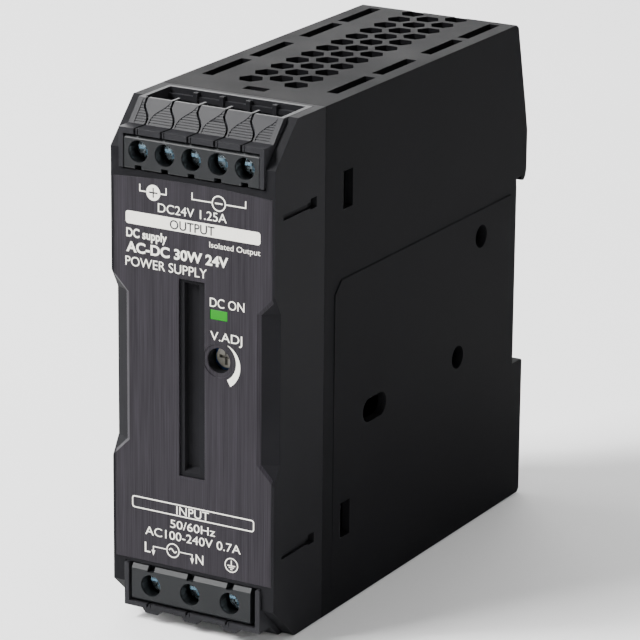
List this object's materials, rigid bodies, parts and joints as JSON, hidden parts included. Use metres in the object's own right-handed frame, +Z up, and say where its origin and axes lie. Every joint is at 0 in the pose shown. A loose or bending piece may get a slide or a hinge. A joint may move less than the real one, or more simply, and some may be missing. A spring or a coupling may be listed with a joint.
{
  "type": "din rail power supply",
  "caption": "Slim black DIN rail power supply: boxed case with vents, screw terminals above and below the front plate, lit lamp, voltage trimmer and sprung rail stopper.",
  "frame": {"origin": "on the rail seat, at the centre of the 35 mm rail", "axes": "+Y out of the back, towards the rail; +Z up; +X to the right seen from the front"},
  "size_m": [0.032, 0.0905, 0.09],
  "materials": {
    "board_green": "solder mask",
    "capacitor_sleeve": "shrunk film",
    "case_plastic": "fine-grained moulded",
    "ceramic_blue": "dipped",
    "copper_wire": "enamelled",
    "cover_plastic": "fine-grained moulded",
    "epoxy_black": "moulded",
    "epoxy_green": "dipped",
    "ferrite": "sintered",
    "film_box": "moulded",
    "fuse_glass": "ceramic tube",
    "guide_plastic": "smooth moulded",
    "heatsink": "rolled sheet",
    "latch_plastic": "smooth moulded",
    "led_white": "moulded",
    "lens_green": "clear lit green",
    "nameplate_dark": "fine vertical brushing with printed legend",
    "rotor_beige": "moulded",
    "spring_steel": "drawn wire",
    "terminal_plastic": "smooth moulded",
    "tinned_brass": "tinned",
    "trimmer_blue": "moulded",
    "winding_tape": "film tape",
    "zinc_steel": "bright zinc",
    "legend_ink": "screen printed"
  },
  "bodies": {
    "case": {"rear_case": "case_plastic", "front_cover": "cover_plastic", "front_nameplate": "nameplate_dark", "light_pipe": "lens_green", "indicator_led": "led_white", "front_pcb": "board_green", "trimmer_body": "trimmer_blue", "stopper_spring": "spring_steel", "main_pcb": "board_green", "transformer_core": "ferrite", "transformer_winding": "winding_tape", "bulk_capacitor": "capacitor_sleeve", "output_capacitors": "capacitor_sleeve", "choke_core": "ferrite", "choke_windings": "copper_wire", "x_capacitor": "film_box", "y_capacitors": "ceramic_blue", "input_fuse": "fuse_glass", "surge_varistor": "ceramic_blue", "inrush_thermistor": "epoxy_green", "bridge_rectifier": "epoxy_black", "primary_heatsink": "heatsink", "switching_transistor": "epoxy_black", "secondary_heatsink": "heatsink", "output_rectifier": "epoxy_black", "output_inductor": "ferrite", "optocoupler": "epoxy_black", "control_ic": "epoxy_black", "output_terminal_block": "terminal_plastic", "input_terminal_block": "terminal_plastic", "output_wire_guide": "guide_plastic", "input_wire_guide": "guide_plastic", "output_terminal_pcb": "board_green", "input_terminal_pcb": "board_green", "output_contacts": "tinned_brass", "input_contacts": "tinned_brass"},
    "stopper": {"rail_stopper": "latch_plastic"},
    "trimmer": {"trimmer_rotor": "rotor_beige"},
    "output_clamp_1_body": {"output_clamp_1": "zinc_steel"},
    "output_screw_1_body": {"output_screw_1": "zinc_steel"},
    "output_clamp_2_body": {"output_clamp_2": "zinc_steel"},
    "output_screw_2_body": {"output_screw_2": "zinc_steel"},
    "output_clamp_3_body": {"output_clamp_3": "zinc_steel"},
    "output_screw_3_body": {"output_screw_3": "zinc_steel"},
    "output_clamp_4_body": {"output_clamp_4": "zinc_steel"},
    "output_screw_4_body": {"output_screw_4": "zinc_steel"},
    "output_clamp_5_body": {"output_clamp_5": "zinc_steel"},
    "output_screw_5_body": {"output_screw_5": "zinc_steel"},
    "input_clamp_1_body": {"input_clamp_1": "zinc_steel"},
    "input_screw_1_body": {"input_screw_1": "zinc_steel"},
    "input_clamp_2_body": {"input_clamp_2": "zinc_steel"},
    "input_screw_2_body": {"input_screw_2": "zinc_steel"},
    "input_clamp_3_body": {"input_clamp_3": "zinc_steel"},
    "input_screw_3_body": {"input_screw_3": "zinc_steel"}
  },
  "joints": [
    {"name": "stopper_slide", "type": "slide", "parent": "case", "child": "stopper", "axis": [0, 0, -1], "range_m": [0, 0.004], "stiffness_N_per_m": 500, "springref_m": -0.002, "deforming": ["stopper_spring"]},
    {"name": "trimmer_turn", "type": "hinge", "parent": "case", "child": "trimmer", "pos_m": [0.005, -0.0862, 0.005], "axis": [0, -1, 0], "range_deg": [-130, 130]},
    {"name": "output_clamp_1_slide", "type": "slide", "parent": "case", "child": "output_clamp_1_body", "axis": [0, -1, 0], "range_m": [0, 0.002]},
    {"name": "output_screw_1_turn", "type": "hinge", "parent": "output_clamp_1_body", "child": "output_screw_1_body", "pos_m": [-0.0102, -0.0862, 0.03865], "axis": [0, -1, 0], "range_deg": [0, 1440]},
    {"name": "output_clamp_2_slide", "type": "slide", "parent": "case", "child": "output_clamp_2_body", "axis": [0, -1, 0], "range_m": [0, 0.002]},
    {"name": "output_screw_2_turn", "type": "hinge", "parent": "output_clamp_2_body", "child": "output_screw_2_body", "pos_m": [-0.0051, -0.0862, 0.03865], "axis": [0, -1, 0], "range_deg": [0, 1440]},
    {"name": "output_clamp_3_slide", "type": "slide", "parent": "case", "child": "output_clamp_3_body", "axis": [0, -1, 0], "range_m": [0, 0.002]},
    {"name": "output_screw_3_turn", "type": "hinge", "parent": "output_clamp_3_body", "child": "output_screw_3_body", "pos_m": [0, -0.0862, 0.03865], "axis": [0, -1, 0], "range_deg": [0, 1440]},
    {"name": "output_clamp_4_slide", "type": "slide", "parent": "case", "child": "output_clamp_4_body", "axis": [0, -1, 0], "range_m": [0, 0.002]},
    {"name": "output_screw_4_turn", "type": "hinge", "parent": "output_clamp_4_body", "child": "output_screw_4_body", "pos_m": [0.0051, -0.0862, 0.03865], "axis": [0, -1, 0], "range_deg": [0, 1440]},
    {"name": "output_clamp_5_slide", "type": "slide", "parent": "case", "child": "output_clamp_5_body", "axis": [0, -1, 0], "range_m": [0, 0.002]},
    {"name": "output_screw_5_turn", "type": "hinge", "parent": "output_clamp_5_body", "child": "output_screw_5_body", "pos_m": [0.0102, -0.0862, 0.03865], "axis": [0, -1, 0], "range_deg": [0, 1440]},
    {"name": "input_clamp_1_slide", "type": "slide", "parent": "case", "child": "input_clamp_1_body", "axis": [0, -1, 0], "range_m": [0, 0.002]},
    {"name": "input_screw_1_turn", "type": "hinge", "parent": "input_clamp_1_body", "child": "input_screw_1_body", "pos_m": [-0.00818, -0.0862, -0.0373], "axis": [0, -1, 0], "range_deg": [0, 1440]},
    {"name": "input_clamp_2_slide", "type": "slide", "parent": "case", "child": "input_clamp_2_body", "axis": [0, -1, 0], "range_m": [0, 0.002]},
    {"name": "input_screw_2_turn", "type": "hinge", "parent": "input_clamp_2_body", "child": "input_screw_2_body", "pos_m": [-0.00038, -0.0862, -0.0373], "axis": [0, -1, 0], "range_deg": [0, 1440]},
    {"name": "input_clamp_3_slide", "type": "slide", "parent": "case", "child": "input_clamp_3_body", "axis": [0, -1, 0], "range_m": [0, 0.002]},
    {"name": "input_screw_3_turn", "type": "hinge", "parent": "input_clamp_3_body", "child": "input_screw_3_body", "pos_m": [0.00742, -0.0862, -0.0373], "axis": [0, -1, 0], "range_deg": [0, 1440]}
  ],
  "couplings": [
    {"joint": "output_screw_1_turn", "follows": "output_clamp_1_slide", "rad_per_m": 12566},
    {"joint": "output_screw_2_turn", "follows": "output_clamp_2_slide", "rad_per_m": 12566},
    {"joint": "output_screw_3_turn", "follows": "output_clamp_3_slide", "rad_per_m": 12566},
    {"joint": "output_screw_4_turn", "follows": "output_clamp_4_slide", "rad_per_m": 12566},
    {"joint": "output_screw_5_turn", "follows": "output_clamp_5_slide", "rad_per_m": 12566},
    {"joint": "input_screw_1_turn", "follows": "input_clamp_1_slide", "rad_per_m": 12566},
    {"joint": "input_screw_2_turn", "follows": "input_clamp_2_slide", "rad_per_m": 12566},
    {"joint": "input_screw_3_turn", "follows": "input_clamp_3_slide", "rad_per_m": 12566}
  ]
}
